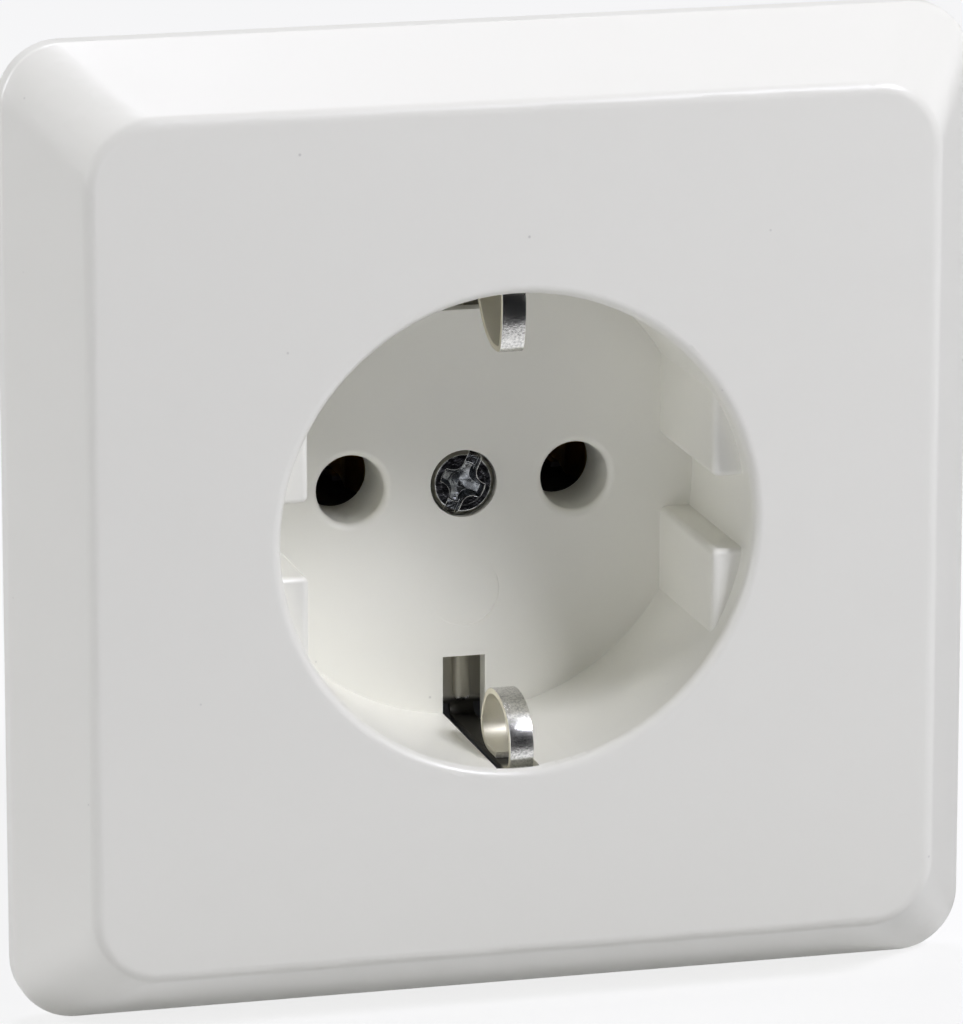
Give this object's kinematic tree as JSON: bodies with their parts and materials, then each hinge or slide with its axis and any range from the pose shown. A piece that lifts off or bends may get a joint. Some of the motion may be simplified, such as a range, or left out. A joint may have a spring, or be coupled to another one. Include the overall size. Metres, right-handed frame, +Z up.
{
  "type": "flush socket",
  "caption": "Square flush wall socket: bevelled one-piece cover with a round keyed plug well, pin holes and sprung earth contacts, on a contact carrier with a sheet mounting frame.",
  "frame": {"origin": "on the plug well's axis, in the wall plane that the cover's rim and the frame's back lie on", "axes": "+Z up, -Y out of the wall towards the user, X from the left pin to the right pin as seen by the user"},
  "size_m": [0.08, 0.0414, 0.08],
  "materials": {
    "cover_plastic": "satin white moulding",
    "carrier_plastic": "matte dark thermoset",
    "tinned_spring": "bright tinned bronze strip",
    "zinc_steel": "zinc plated",
    "frame_steel": "zinc plated sheet",
    "spring_steel": "bright spring steel",
    "contact_brass": "plain brass"
  },
  "bodies": {
    "root": {"cover": "cover_plastic", "cover_screw": "zinc_steel", "cover_nut": "zinc_steel", "earth_bracket": "tinned_spring", "mounting_frame": "frame_steel", "frame_rivets": "zinc_steel", "contact_carrier": "carrier_plastic", "rear_cover": "carrier_plastic", "live_contact": "contact_brass", "neutral_contact": "contact_brass", "live_grip_spring": "spring_steel", "neutral_grip_spring": "spring_steel", "live_terminal": "contact_brass", "neutral_terminal": "contact_brass", "earth_terminal": "contact_brass", "live_clamp_plate": "zinc_steel", "neutral_clamp_plate": "zinc_steel", "earth_clamp_plate": "zinc_steel", "live_terminal_screws": "zinc_steel", "neutral_terminal_screws": "zinc_steel", "earth_terminal_screws": "zinc_steel"}
  },
  "joints": []
}
